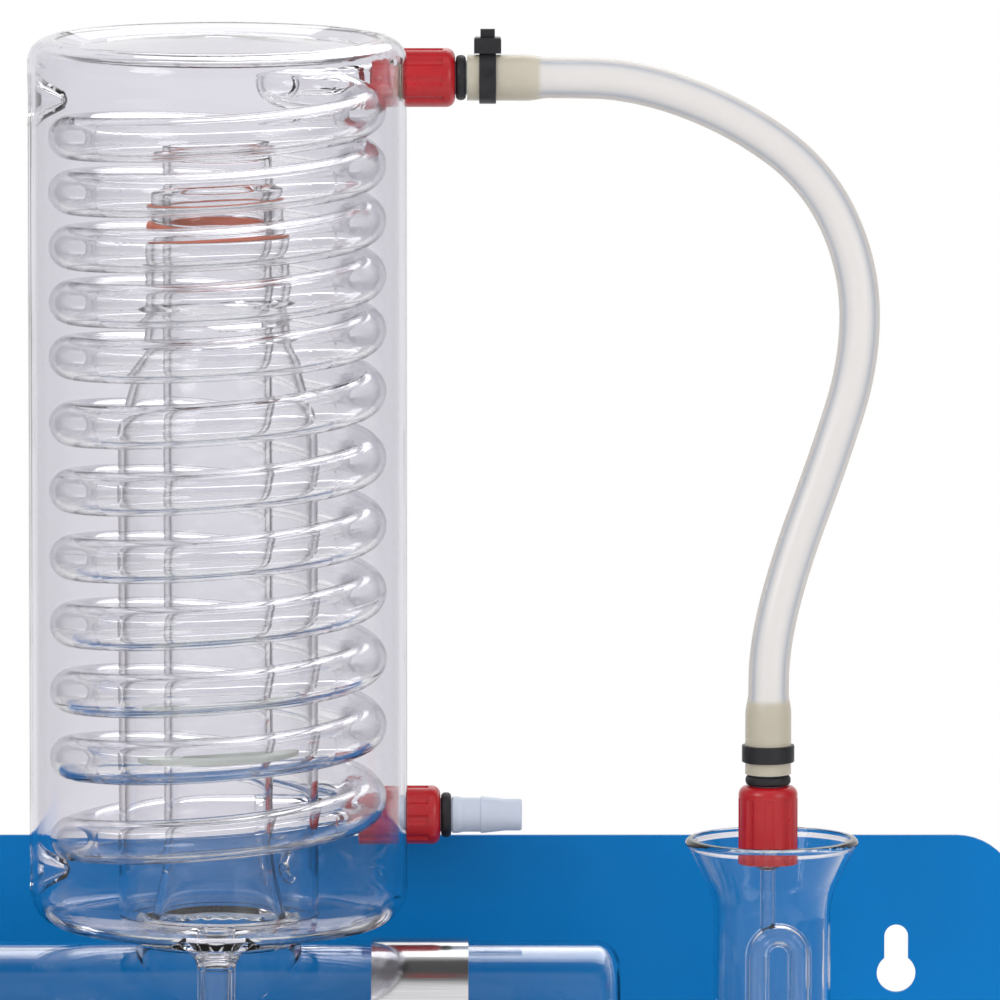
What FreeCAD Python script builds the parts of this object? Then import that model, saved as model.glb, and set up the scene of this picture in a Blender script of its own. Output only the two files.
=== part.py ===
import FreeCAD, Part
import math
import os

from FreeCAD import Vector

# Glass water still on a wall plate, in millimetres.
# X runs to the right along the wall, Y into the wall, Z up.
# The origin lies on the wall, midway between the two hanging screws and just above them.

# Driving dimensions
plate_width = 534.0
plate_top = 31.8
plate_bottom = -112.0
plate_thickness = 2.0
screw_spacing = 452.0
jacket_radius = 62.5
jacket_wall = 2.5
jacket_floor = 12.5
jacket_top = 307.0
coil_tube_radius = 7.25
coil_bore_radius = 5.25
coil_radius = 48.5
boiler_radius = 45.0
boiler_wall = 2.5
boiler_right = 133.0
boiler_left = -136.0
boiler_axis_z = -40.0
level_x = 183.2
level_radius = 19.5
level_lip_radius = 29.1
feed_x = 181.9
hose_radius = 6.75
hose_bore_radius = 4.8

# Places that follow from them
condenser_y = -(plate_thickness + 7.5 + jacket_radius)
boiler_y = condenser_y + 9.0
level_y = boiler_y
stem_y = condenser_y - 46.0
riser_radius = 18.0
riser_top = 268.0
floor_inside = jacket_floor + jacket_wall
top_port_y = condenser_y + 44.0
top_port_z = 289.5
bottom_port_y = condenser_y + 50.0
bottom_port_z = 41.7
outlet_cap_x = 53.2
inlet_cap_x = 48.2
feed_cap_z = 32.4

# Screw cap, hose connector and their seat, along their own axis from the cap's open end
cap_length = 25.0
cap_radius = 9.8
cap_face = 18.2
seat_end = 15.5
flange_end = 18.0
neck_radius = 5.65
neck_hole_radius = 5.72
thread_core_radius = 7.0
thread_crest_radius = 7.9
ring_start = 25.2
ring_end = 28.6
hose_start = 28.9
barb_length = 52.2

nodes = {}


def keep(name, shape):
    """Add a finished piece to the model under its own name."""
    nodes[name] = shape


def rounded(points, closed=True):
    """Edges through points (place, corner radius), each corner rounded by a tangent arc."""
    count = len(points)
    starts = []
    ends = []
    arcs = []
    for i, (here, radius) in enumerate(points):
        inner = closed or 0 < i < count - 1
        if not inner or radius <= 0:
            starts.append(here)
            ends.append(here)
            arcs.append(None)
            continue
        back = (points[i - 1][0] - here).normalize()
        ahead = (points[(i + 1) % count][0] - here).normalize()
        half = back.getAngle(ahead) / 2.0
        cut = radius / math.tan(half)
        middle = (back + ahead).normalize()
        centre = here + middle * (radius / math.sin(half))
        starts.append(here + back * cut)
        ends.append(here + ahead * cut)
        arcs.append(centre - middle * radius)
    edges = []
    for i in range(count):
        if arcs[i] is not None:
            edges.append(Part.Arc(starts[i], arcs[i], ends[i]).toShape())
        if i == count - 1 and not closed:
            break
        after = starts[(i + 1) % count]
        if (after - ends[i]).Length > 1e-6:
            edges.append(Part.LineSegment(ends[i], after).toShape())
    return edges


def turned(outline, base, direction=Vector(0, 0, 1)):
    """A solid of revolution. The outline lists (radius, height[, corner radius]) along the axis."""
    points = []
    for corner in outline:
        rounding = corner[2] if len(corner) > 2 else 0.0
        points.append((Vector(corner[0], 0, corner[1]), rounding))
    face = Part.Face(Part.Wire(rounded(points)))
    solid = face.revolve(Vector(0, 0, 0), Vector(0, 0, 1), 360)
    solid.Placement = FreeCAD.Placement(base, FreeCAD.Rotation(Vector(0, 0, 1), direction))
    return solid


def rod(radius, base, direction, length):
    return Part.makeCylinder(radius, length, base, direction)


def block(low, high):
    size = Vector(*high) - Vector(*low)
    return Part.makeBox(size.x, size.y, size.z, Vector(*low))


def swept(path, radius):
    """A round bar along a wire of tangent lines and arcs."""
    first = path.OrderedEdges[0]
    start = first.valueAt(first.FirstParameter)
    tangent = first.tangentAt(first.FirstParameter)
    ring = Part.Wire(Part.Circle(start, tangent, radius).toShape())
    pipe = Part.BRepOffsetAPI.MakePipeShell(path)
    pipe.add(ring)
    pipe.build()
    pipe.makeSolid()
    return pipe.shape()


def arc_from(start, heading, end):
    """The arc that leaves start along heading and ends at end."""
    chord = end - start
    along = Vector(chord).normalize()
    bulge = Vector(heading).normalize() - along * Vector(heading).normalize().dot(along)
    middle = (start + end) * 0.5
    if bulge.Length < 1e-6:
        return Part.LineSegment(start, end).toShape()
    angle = Vector(heading).getAngle(along)
    middle = middle + bulge.normalize() * (chord.Length / 2.0 * math.tan(angle / 2.0))
    return Part.Arc(start, middle, end).toShape()


def biarc(start, heading, end, arrival):
    """Two tangent arcs from start along heading to end along arrival."""
    t0 = Vector(heading).normalize()
    t1 = Vector(arrival).normalize()
    span = end - start
    both = t0 + t1
    spread = 2.0 * (1.0 - t0.dot(t1))
    if spread < 1e-9:
        reach = span.dot(span) / (4.0 * span.dot(t1))
    else:
        lean = span.dot(both)
        reach = (-lean + math.sqrt(lean * lean + spread * span.dot(span))) / spread
    joint = (start + end + (t0 - t1) * reach) * 0.5
    middle_heading = (end - t1 * reach) - (start + t0 * reach)
    return [arc_from(start, t0, joint), arc_from(joint, middle_heading, end)]


# Wall plate: flat sheet with a stiffening lip along its lower edge and two keyholes


def wall_plate():
    half = plate_width / 2.0
    corners = [
        (Vector(-half, 0, plate_bottom), 10.0),
        (Vector(half, 0, plate_bottom), 10.0),
        (Vector(half, 0, plate_top), 21.0),
        (Vector(-half, 0, plate_top), 21.0),
    ]
    plate = Part.Face(Part.Wire(rounded(corners))).extrude(Vector(0, -plate_thickness, 0))
    lip_depth = 14.0
    lip = block((-half + 14, -lip_depth, plate_bottom), (half - 14, 0, plate_bottom + plate_thickness))
    plate = plate.fuse(lip)
    for side in (-1, 1):
        plate = plate.cut(keyhole(side * screw_spacing / 2.0))
    for x, z in fixing_places():
        plate = plate.cut(rod(2.6, Vector(x, 5, z), Vector(0, -1, 0), 20))
    return plate.removeSplitter()


def keyhole(x):
    """Slot for the screw's shank, with a round entry for its head below."""
    slot_half = 3.98
    slot_z = -2.4
    entry_radius = 6.5
    entry_z = -14.9
    depth = 20.0
    start = Vector(x, 5, slot_z)
    opening = rod(slot_half, start, Vector(0, -1, 0), depth)
    opening = opening.fuse(rod(entry_radius, Vector(x, 5, entry_z), Vector(0, -1, 0), depth))
    channel = block((x - slot_half, 5 - depth, entry_z), (x + slot_half, 5, slot_z))
    return opening.fuse(channel)


strap_centres = (-96.0, 66.6)
strap_width = 32.0
strap_foot_reach = 11.0
strap_gap = 5.0
strap_thickness = 0.8
clip_z = -36.0


def fixing_places():
    """Where screws hold the straps and the level tube's clip to the plate."""
    places = []
    for x in strap_centres:
        for side in (-1, 1):
            places.append((x, boiler_axis_z + side * (strap_gap + strap_foot_reach / 2.0 + 1.5)))
    places.append((level_x, clip_z))
    return places


def fixing_screws():
    """Pan head screws through the plate, each a solid of its own."""
    screws = []
    for x, z in fixing_places():
        seat = -plate_thickness - strap_thickness if x != level_x else -plate_thickness - 1.2
        head = turned([(0, 0), (4.6, 0), (4.6, 1.6, 0.8), (3.2, 3.0, 0.8), (0, 3.0)], Vector(x, seat, z), Vector(0, -1, 0))
        slot = block((x - 5, seat - 4, z - 0.5), (x + 5, seat - 2.0, z + 0.5))
        shank = rod(2.5, Vector(x, 0, z), Vector(0, -1, 0), -seat)
        screws.append(head.cut(slot).fuse(shank).removeSplitter())
    return Part.makeCompound(screws)


# Boiler: a horizontal glass cylinder with a heater neck, side nozzle, drain cock barrel and tall vapour riser,
# all fused in one piece of glass

heater_z = -58.0
neck_radius_glass = 20.0
neck_end_x = -162.0
link_z = -62.0
drain_x = 106.0
drain_z = -104.0


def boiler():
    axis = Vector(0, boiler_y, boiler_axis_z)
    along = Vector(1, 0, 0)
    body = turned(
        [(0, boiler_left), (boiler_radius, boiler_left, 14.0), (boiler_radius, boiler_right, 8.0), (0, boiler_right)],
        axis,
        along,
    )
    inside = turned(
        [
            (0, boiler_left + boiler_wall),
            (boiler_radius - boiler_wall, boiler_left + boiler_wall, 11.5),
            (boiler_radius - boiler_wall, boiler_right - boiler_wall, 5.5),
            (0, boiler_right - boiler_wall),
        ],
        axis,
        along,
    )
    neck_base = Vector(neck_end_x, boiler_y, heater_z)
    neck_length = boiler_left - neck_end_x + 3.0
    rim = [(0, 0), (neck_radius_glass, 0, 1.2)]
    for ridge in range(3):
        start = 5.0 + ridge * 4.0
        rim += [(neck_radius_glass, start), (neck_radius_glass + 1.3, start + 1.0), (neck_radius_glass, start + 2.0)]
    rim += [(neck_radius_glass, neck_length), (0, neck_length)]
    neck = turned(rim, neck_base, along)
    neck_bore = rod(neck_radius_glass - 3.0, neck_base - along, along, neck_length + 4)
    nozzle_radius = 6.0
    nozzle_base = Vector(boiler_right - 4, boiler_y, link_z)
    nozzle = rod(nozzle_radius, nozzle_base, along, 18.0)
    nozzle_bore = rod(nozzle_radius - 1.8, nozzle_base - along * 3, along, 30.0)
    drain_top = Vector(drain_x, boiler_y, boiler_axis_z - boiler_radius + 4)
    down = Vector(0, 0, -1)
    drain = rod(5.0, drain_top, down, 4 + 20.0)
    drain_bore = rod(3.0, drain_top + Vector(0, 0, 4), down, 60.0)
    barrel = rod(9.0, Vector(drain_x, boiler_y - 16, drain_z), Vector(0, 1, 0), 32.0)
    barrel_bore = rod(key_bore_radius, Vector(drain_x, boiler_y - 20, drain_z), Vector(0, 1, 0), 40.0)
    outlet = turned(
        [(0, 0), (5.0, 0), (5.0, 16.0), (4.4, 24.0), (0, 24.0)], Vector(drain_x, boiler_y, drain_z - 6), down
    )
    vessel = body.fuse([neck, nozzle, drain, barrel, outlet, riser_outside()])
    return vessel.cut([inside, neck_bore, nozzle_bore, drain_bore, barrel_bore, riser_inside()]).removeSplitter()


key_radius = 5.55
key_bore_radius = 5.62


def drain_key():
    """Turning plug of the drain cock, bored across, with a lever handle in front."""
    forward = Vector(0, -1, 0)
    back_y = boiler_y + 17.5
    plug = turned(
        [(0, 0), (key_radius - 1, 0), (key_radius, 1.0), (key_radius, 34.0), (8.5, 34.0, 1), (8.5, 37.5, 1), (0, 37.5)],
        Vector(drain_x, back_y, drain_z),
        forward,
    )
    bore = rod(3.0, Vector(drain_x - 15, boiler_y, drain_z), Vector(1, 0, 0), 30.0)
    front = back_y - 37.5
    outline = [
        (Vector(drain_x - 19, front, drain_z - 3.5), 3.2),
        (Vector(drain_x, front, drain_z - 6.5), 8.0),
        (Vector(drain_x + 19, front, drain_z - 3.5), 3.2),
        (Vector(drain_x + 19, front, drain_z + 3.5), 3.2),
        (Vector(drain_x, front, drain_z + 6.5), 8.0),
        (Vector(drain_x - 19, front, drain_z + 3.5), 3.2),
    ]
    lever = Part.Face(Part.Wire(rounded(outline))).extrude(Vector(0, -7, 0))
    return plug.cut(bore).fuse(lever).removeSplitter()


def boiler_strap(x):
    """One sheet band round the boiler, its two ends turned out as feet against the plate."""
    centre = Vector(x - strap_width / 2.0, boiler_y, boiler_axis_z)
    inner = boiler_radius + 0.1
    outer = inner + strap_thickness
    band = rod(outer, centre, Vector(1, 0, 0), strap_width)
    band = band.cut(rod(inner, centre - Vector(1, 0, 0), Vector(1, 0, 0), strap_width + 2))
    low_x = x - strap_width / 2.0
    high_x = x + strap_width / 2.0
    foot_face = -plate_thickness
    mouth = block((low_x - 1, boiler_y, boiler_axis_z - strap_gap), (high_x + 1, 10, boiler_axis_z + strap_gap))
    band = band.cut(mouth)
    leg_start = boiler_y + math.sqrt(inner * inner - strap_gap * strap_gap)
    for side in (-1, 1):
        z_in = boiler_axis_z + side * strap_gap
        z_out = z_in + side * strap_thickness
        leg = block((low_x, leg_start, min(z_in, z_out)), (high_x, foot_face, max(z_in, z_out)))
        z_end = z_in + side * (strap_foot_reach + 3.0)
        foot = block(
            (low_x, foot_face - strap_thickness, min(z_in, z_end)), (high_x, foot_face, max(z_in, z_end))
        )
        band = band.fuse([leg, foot])
    for place_x, z in fixing_places():
        if place_x == x:
            band = band.cut(rod(2.6, Vector(x, 5, z), Vector(0, -1, 0), 12))
    return band.removeSplitter()


# Heater: a silica sheath through the boiler's neck, held by a screw ring, with its terminals under a cover


def heater_sheath():
    base = Vector(neck_end_x - 14, boiler_y, heater_z)
    outer = turned(
        [(0, 0), (9.0, 0), (9.0, 12.0), (16.5, 12.0), (16.5, 14.0), (9.0, 14.0), (9.0, 282.0, 8.5), (0, 282.0)],
        base,
        Vector(1, 0, 0),
    )
    inner = turned([(0, -1), (7.4, -1), (7.4, 280.0, 7.0), (0, 280.0)], base, Vector(1, 0, 0))
    return outer.cut(inner)


def heater_rod():
    """Ceramic former inside the sheath, grooved for the resistance wire."""
    base = Vector(neck_end_x - 13, boiler_y, heater_z)
    outline = [(0, 0), (5.8, 0), (5.8, 40.0)]
    groove = 6.0
    for turn in range(34):
        start = 40.0 + turn * groove
        outline += [(5.8, start + 2.4), (4.9, start + 3.2), (5.8, start + 4.0)]
    outline += [(5.8, 252.0, 2.0), (0, 252.0)]
    return turned(outline, base, Vector(1, 0, 0))


def heater_ring():
    """Screw ring that clamps the heater's flange to the neck."""
    base = Vector(neck_end_x - 6, boiler_y, heater_z)
    ring = turned(
        [(10.0, 0), (25.5, 0, 1.5), (25.5, 24.0, 1.5), (21.6, 24.0), (21.6, 3.5), (10.0, 3.5)],
        base,
        Vector(1, 0, 0),
    )
    for step in range(18):
        angle = math.radians(step * 20)
        spot = base + Vector(-2, math.cos(angle) * 26.6, math.sin(angle) * 26.6)
        ring = ring.cut(rod(1.8, spot, Vector(1, 0, 0), 22.0))
    return ring


cover_left = -236.0
cover_right = neck_end_x - 10.0
cover_low = heater_z - 27.0
cover_high = heater_z + 27.0
cover_front = boiler_y - 27.0
cover_back = boiler_y + 27.0


def terminal_cover():
    """Moulded housing over the heater's terminals, open towards the heater."""
    outside = rounded_box((cover_left, cover_front, cover_low), (cover_right, cover_back, cover_high), 6.0)
    inside = rounded_box(
        (cover_left + 2.5, cover_front + 2.5, cover_low + 2.5), (cover_right - 3, cover_back - 2.5, cover_high - 2.5), 4.0
    )
    shell = outside.cut(inside)
    shell = shell.cut(rod(9.3, Vector(cover_right - 10, boiler_y, heater_z), Vector(1, 0, 0), 20))
    shell = shell.cut(rod(6.1, Vector(gland_x, boiler_y, cover_low - 5), Vector(0, 0, 1), 12))
    groove = block((cover_left - 1, cover_front - 1, heater_z - 0.5), (cover_left + 1.0, cover_back + 1, heater_z + 0.5))
    return shell.cut(groove)


gland_x = -206.0


def rounded_box(low, high, radius):
    solid = block(low, high)
    return solid.makeFillet(radius, solid.Edges)


def cable_gland():
    """Gland in the cover's floor: a hexagon, a domed nut and a bore for the lead."""
    down = Vector(0, 0, -1)
    base = Vector(gland_x, boiler_y, cover_low)
    flats = Part.Wire(Part.makePolygon([base + Vector(10 * math.cos(a), 10 * math.sin(a), 0) for a in sixths()]))
    hexagon = Part.Face(flats).extrude(Vector(0, 0, -5))
    dome = turned([(0, 5), (8.4, 5), (8.4, 11, 1.0), (6.2, 17.0, 2.0), (0, 17.0)], base, down)
    for step in range(12):
        angle = math.radians(step * 30)
        spot = base + Vector(8.9 * math.cos(angle), 8.9 * math.sin(angle), -5.2)
        dome = dome.cut(rod(0.9, spot, down, 5.6))
    collar = rod(6.0, base + Vector(0, 0, 4.0), down, 5.0)
    bore = rod(4.1, base + Vector(0, 0, 8), down, 30)
    return hexagon.fuse([dome, collar]).cut(bore).removeSplitter()


def sixths():
    return [math.radians(60 * step) for step in range(7)]


# Vapour path: the riser passes up the middle of the condenser, inside a bottle-shaped well


riser_wall = 2.0
riser_foot = 23.0
skirt_radius = 27.5
skirt_top = 10.0


def riser_outside():
    """Riser with a wide skirt at its foot, whose shoulder carries the condenser."""
    low = boiler_axis_z + 20.0
    outline = [
        (0, low),
        (skirt_radius, low),
        (skirt_radius, skirt_top, 2.5),
        (riser_foot, skirt_top + 0.3, 1.5),
        (riser_foot - 1.0, 16.0, 5.0),
        (riser_radius, 34.0, 30.0),
        (riser_radius, riser_top, 0.9),
        (0, riser_top),
    ]
    return turned(outline, Vector(0, condenser_y, 0))


def riser_inside():
    low = boiler_axis_z
    outline = [
        (0, low),
        (skirt_radius - riser_wall, low),
        (skirt_radius - riser_wall, skirt_top - riser_wall, 2.0),
        (riser_foot - riser_wall, skirt_top - riser_wall + 0.3, 2.0),
        (riser_foot - riser_wall - 1.2, 16.0, 5.0),
        (riser_radius - riser_wall, 34.0, 30.0),
        (riser_radius - riser_wall, riser_top + 1),
        (0, riser_top + 1),
    ]
    return turned(outline, Vector(0, condenser_y, 0))


def seat_ring():
    """Soft ring between the riser's skirt and the condenser's floor."""
    outline = [(24.7, skirt_top + 0.3), (27.2, skirt_top + 0.3), (27.2, jacket_floor, 0.6), (24.7, jacket_floor, 0.6)]
    return turned(outline, Vector(0, condenser_y, 0))


well_radius = 33.0
well_neck_radius = 23.8
well_top = 243.4


def condensate_well():
    """Bottle-shaped glass wall that keeps distillate out of the riser's passage."""
    base = Vector(0, condenser_y, 0)
    wall = 2.0
    bead = 216.0
    outline = [
        (well_radius - wall, floor_inside),
        (well_radius, floor_inside),
        (well_radius, 178.0, 40.0),
        (well_neck_radius, 209.0, 22.0),
        (well_neck_radius, bead - 3.0, 1.5),
        (well_neck_radius + 2.8, bead, 1.2),
        (well_neck_radius, bead + 3.0, 1.5),
        (well_neck_radius, well_top, 0.7),
        (well_neck_radius - wall, well_top, 0.7),
        (well_neck_radius - wall, 210.0, 24.0),
        (well_radius - wall, 177.5, 38.0),
    ]
    return turned(outline, base)


def riser_collar():
    """Glass collar that caps the gap between riser and well."""
    low = well_top + 2.9
    outline = [
        (riser_radius + 0.05, low),
        (riser_radius + 3.8, low, 0.8),
        (riser_radius + 3.8, low + 11.0, 3.0),
        (riser_radius + 0.05, low + 14.5),
    ]
    return turned(outline, Vector(0, condenser_y, 0))


def seal_ring():
    outline = [(18.1, 0), (23.4, 0, 0.9), (23.4, 2.8, 0.9), (18.1, 2.8)]
    return turned(outline, Vector(0, condenser_y, well_top))


def centring_ring():
    outline = [(18.05, 0), (26.7, 0, 1.0), (26.7, 4.3, 1.0), (18.05, 4.3)]
    return turned(outline, Vector(0, condenser_y, 67.2))


# Condenser jacket: closed glass cylinder with dished top, drain stem, coil ports and dimples


def jacket_outline(inset):
    """The jacket's revolved outline, moved in by the glass thickness for its inside."""
    radius = jacket_radius - inset
    floor = jacket_floor + inset
    top = jacket_top - inset
    return [
        (0, floor),
        (radius, floor, 12.0 - inset),
        (radius, top, 7.5 - inset),
        (radius - 8.3 + inset / 2, top, 3.0),
        (jacket_radius - 17.5, top - 2.6, 5.0),
        (0, top + 1.0),
    ]


def condenser_jacket():
    base = Vector(0, condenser_y, 0)
    outside = turned(jacket_outline(0.0), base)
    inside = turned(jacket_outline(jacket_wall), base)
    for angle, z in dimples():
        inward = Vector(-math.cos(angle), -math.sin(angle), 0)
        mouth = base - inward * (jacket_radius + 1.0) + Vector(0, 0, z)
        dent = turned([(0, 0), (9.5, 0), (4.2, 4.5, 6.0), (1.0, 11.8), (0, 12.4)], mouth, inward)
        skin = turned([(0, 0), (12.0, 0), (6.4, 6.5, 6.0), (2.8, 13.4, 1.0), (0, 14.4)], mouth, inward)
        outside = outside.cut(dent)
        inside = inside.cut(skin)
    shell = outside.cut(inside)
    foot_hole = rod(riser_foot + 1.5, base, Vector(0, 0, 1), floor_inside + 1)
    shell = shell.cut(foot_hole)
    stem_base = Vector(0, stem_y, 0)
    stem_radius = 6.25
    flare = turned(
        [(0, 1.5), (stem_radius, 1.5), (stem_radius, 12.0, 8.5), (15.6, 12.0), (15.6, floor_inside - 0.5), (0, floor_inside - 0.5)],
        stem_base,
    )
    spigot_top = stem_end + 26.0
    tube = turned(
        [
            (0, stem_end),
            (5.5, stem_end, 0.8),
            (5.5, spigot_top),
            (stem_radius, spigot_top + 1.5),
            (stem_radius, 17.6, 0.8),
            (0, 17.6),
        ],
        stem_base,
    )
    bore = rod(4.25, Vector(0, stem_y, stem_end - 1), Vector(0, 0, 1), 160)
    keep_in = rod(jacket_radius - 4.0, Vector(0, condenser_y, -200), Vector(0, 0, 1), 600)
    groove = turned(
        [(0, 17.0), (0, 10.4), (stem_radius, 10.4), (9.3, 14.3, 9.0), (14.0, 15.0), (14.0, 17.0)], stem_base
    )
    within = rod(jacket_radius - 5.5, Vector(0, condenser_y, 0), Vector(0, 0, 1), 30)
    shell = shell.fuse(flare.common(keep_in)).cut(groove.common(within)).fuse(tube)
    for y, z, inner_x, cap_x in coil_ports():
        shell = shell.fuse(port_stub(y, z, inner_x, cap_x))
    cuts = [bore]
    for y, z, inner_x, cap_x in coil_ports():
        cuts.append(rod(coil_bore_radius - 0.75, Vector(inner_x - 1, y, z), Vector(1, 0, 0), 80))
    return shell.cut(cuts).removeSplitter()


stem_end = -126.0
bottom_handover_x = 18.0
top_handover_x = 28.5


def coil_ports():
    """Each coil port's depth and height, where the coil meets it and where its cap starts."""
    upper = (top_port_y, top_port_z, top_handover_x, outlet_cap_x)
    lower = (bottom_port_y, bottom_port_z, bottom_handover_x, inlet_cap_x)
    return [upper, lower]


def dimples():
    """Dents in the wall above and below the coil that hold it in place."""
    places = [(math.pi, 286.5), (math.pi, 30.8)]
    places.append((math.radians(62), 24.5))
    return places


def threaded(base, direction, from_length, core, crest):
    """A glass screw thread drawn as ridges, ending where the connector seats."""
    outline = [(0, -from_length), (core, -from_length)]
    for ridge in range(4):
        start = 2.0 + ridge * 3.0
        outline += [(core, start), (crest, start + 0.9), (crest, start + 1.3), (core, start + 2.2)]
    outline += [(core, seat_end), (0, seat_end)]
    return turned(outline, base, direction)


def port_stub(y, z, inner_x, cap_x):
    base = Vector(cap_x, y, z)
    stub = threaded(base, Vector(1, 0, 0), 6.0, thread_core_radius, thread_crest_radius)
    inner = rod(coil_tube_radius, Vector(inner_x, y, z), Vector(1, 0, 0), cap_x - 5.0 - inner_x)
    return stub.fuse(inner)


# Cooling coil: one unbroken glass tube wound in two pitches, its ends turned to the ports

first_pitch = 27.0
lower_pitch = 22.2
lower_turns = 6
upper_pitch = 18.2
upper_turns = 4
coil_start_z = 41.4


def coil_height(turn):
    height = coil_start_z + first_pitch * min(turn, 1.0)
    height += lower_pitch * max(0.0, min(turn - 1.0, lower_turns))
    height += upper_pitch * max(0.0, turn - 1.0 - lower_turns)
    return height


def coil_point(turn):
    """Place and heading on the winding, counted in turns from its lowest left side."""
    angle = math.pi + 2.0 * math.pi * turn
    place = Vector(coil_radius * math.cos(angle), condenser_y + coil_radius * math.sin(angle), coil_height(turn))
    step = 0.12
    rise = (coil_height(turn + step) - coil_height(turn - step)) / (2.0 * step)
    across = 2.0 * math.pi * coil_radius
    heading = Vector(-across * math.sin(angle), across * math.cos(angle), rise)
    return place, heading


def coil_path():
    """Wire of biarcs, a quarter turn each, from the lower port up to the upper one."""
    stations = []
    rear = Vector(0, bottom_port_y, bottom_port_z)
    start = Vector(bottom_handover_x, bottom_port_y, bottom_port_z)
    stations.append((start, Vector(-1, 0, 0)))
    stations.append((rear, Vector(-1, 0, 0)))
    quarters = int(4 * (1 + lower_turns + upper_turns) + 2)
    for quarter in range(quarters + 1):
        stations.append(coil_point(quarter / 4.0))
    turn_radius = 9.0
    turn_x = top_handover_x
    inner_y = top_port_y - 2.0 * turn_radius
    stations.append((Vector(turn_x, inner_y, 287.6), Vector(-1, 0, 0.07)))
    stations.append((Vector(turn_x - turn_radius, top_port_y - turn_radius, 288.9), Vector(0, 1, 0.05)))
    stations.append((Vector(turn_x, top_port_y, top_port_z), Vector(1, 0, 0)))
    edges = []
    for (here, heading), (there, arrival) in zip(stations, stations[1:]):
        straight = (there - here).getAngle(heading) < 1e-6 and heading.getAngle(arrival) < 1e-6
        if straight:
            edges.append(Part.LineSegment(here, there).toShape())
        else:
            edges.extend(biarc(here, heading, there, arrival))
    return Part.Wire(edges)


def least_gap(path, radius):
    """Closest approach of the wound tube to itself, measured on points along it."""
    step = 1.0
    points = path.discretize(Distance=step)
    apart = int(4.0 * radius / step)
    least = 1e9
    for i in range(0, len(points), 2):
        for j in range(i + apart, len(points), 2):
            distance = points[i].distanceToPoint(points[j])
            if distance < least:
                least = distance
    return least - 2.0 * radius


def cooling_coil():
    path = coil_path()
    print("coil length", round(path.Length, 1), "least gap", round(least_gap(path, coil_tube_radius), 2))
    outer = swept(path, coil_tube_radius)
    inner = swept(path, coil_bore_radius)
    coil = outer.cut(inner)
    section = math.pi * (coil_tube_radius**2 - coil_bore_radius**2)
    print("coil volume", round(coil.Volume), "section times length", round(section * path.Length))
    return coil


# Screw connectors: red cap, translucent barbed connector and black ring, three alike


def screw_cap(base, direction):
    cap = turned(
        [
            (thread_crest_radius + 0.4, 0),
            (cap_radius, 0, 0.5),
            (cap_radius, cap_length, 3.0),
            (neck_hole_radius, cap_length),
            (neck_hole_radius, cap_face),
            (thread_crest_radius + 0.4, cap_face),
        ],
        base,
        direction,
    )
    across = direction.cross(Vector(0, 1, 0)).normalize()
    beside = direction.cross(across)
    flute_radius = 3.2
    for step in range(9):
        angle = math.radians(step * 40 + 12)
        offset = (across * math.cos(angle) + beside * math.sin(angle)) * (cap_radius + flute_radius - 0.55)
        flute = rod(flute_radius, base + offset - direction, direction, cap_length - 3.0)
        cap = cap.cut(flute)
    return cap


def barb(base, direction):
    bore = 3.2
    outline = [
        (bore, seat_end + 0.1),
        (7.6, seat_end + 0.1),
        (7.6, flange_end),
        (neck_radius, flange_end),
        (neck_radius, hose_start),
        (6.1, hose_start, 0.4),
        (6.1, 31.0, 0.5),
        (5.7, 32.4, 0.5),
        (5.7, 38.4),
        (6.2, 38.4, 0.3),
        (5.3, 46.6),
        (5.3, barb_length, 0.8),
        (bore, barb_length),
    ]
    return turned(outline, base, direction)


def black_ring(base, direction):
    outline = [(neck_radius + 0.02, ring_start), (7.5, ring_start, 1.4), (7.5, ring_end, 1.4), (neck_radius + 0.02, ring_end)]
    return turned(outline, base, direction)


def connector_places():
    """Name, cap base and direction of the three screw connectors."""
    return [
        ("outlet", Vector(outlet_cap_x, top_port_y, top_port_z), Vector(1, 0, 0)),
        ("inlet", Vector(inlet_cap_x, bottom_port_y, bottom_port_z), Vector(1, 0, 0)),
        ("feed", Vector(feed_x, level_y, feed_cap_z), Vector(0, 0, 1)),
    ]


# Constant-level tube: flared glass with an inner swan neck that drains the surplus

lip_z = 39.8
flare_z = 20.0
level_floor = -86.0


def level_tube():
    base = Vector(level_x, level_y, 0)
    wall = 1.8
    outer = turned(
        [
            (0, level_floor - 8),
            (4.2, level_floor - 8),
            (level_radius, level_floor, 12.0),
            (level_radius, flare_z, 26.0),
            (level_lip_radius - 1.6, lip_z - 3.2, 2.0),
            (level_lip_radius, lip_z - 1.6, 1.1),
            (level_lip_radius - 1.3, lip_z, 1.0),
            (0, lip_z),
        ],
        base,
    )
    inner = turned(
        [
            (0, level_floor - 5.5),
            (3.0, level_floor - 5.5, 2.0),
            (level_radius - wall, level_floor + 1.5, 10.0),
            (level_radius - wall, flare_z, 28.0),
            (level_lip_radius - 2.8, lip_z + 0.5),
            (0, lip_z + 0.5),
        ],
        base,
    )
    arm_radius = 6.0
    arm = rod(arm_radius, Vector(link_arm_x, level_y, link_z), Vector(1, 0, 0), level_x - link_arm_x - level_radius + 3)
    arm_bore = rod(arm_radius - 1.8, Vector(link_arm_x - 1, level_y, link_z), Vector(1, 0, 0), 22)
    drain_hole = rod(swan_radius, Vector(level_x, level_y, level_floor - 20), Vector(0, 0, 1), 40)
    return outer.fuse(arm).cut([inner, arm_bore, drain_hole]).removeSplitter()


link_arm_x = boiler_right + 16.0
swan_radius = 4.0
swan_bore = 2.6
swan_bend = 7.0
swan_top = 7.3
swan_centre_x = level_x + 2.3


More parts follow.
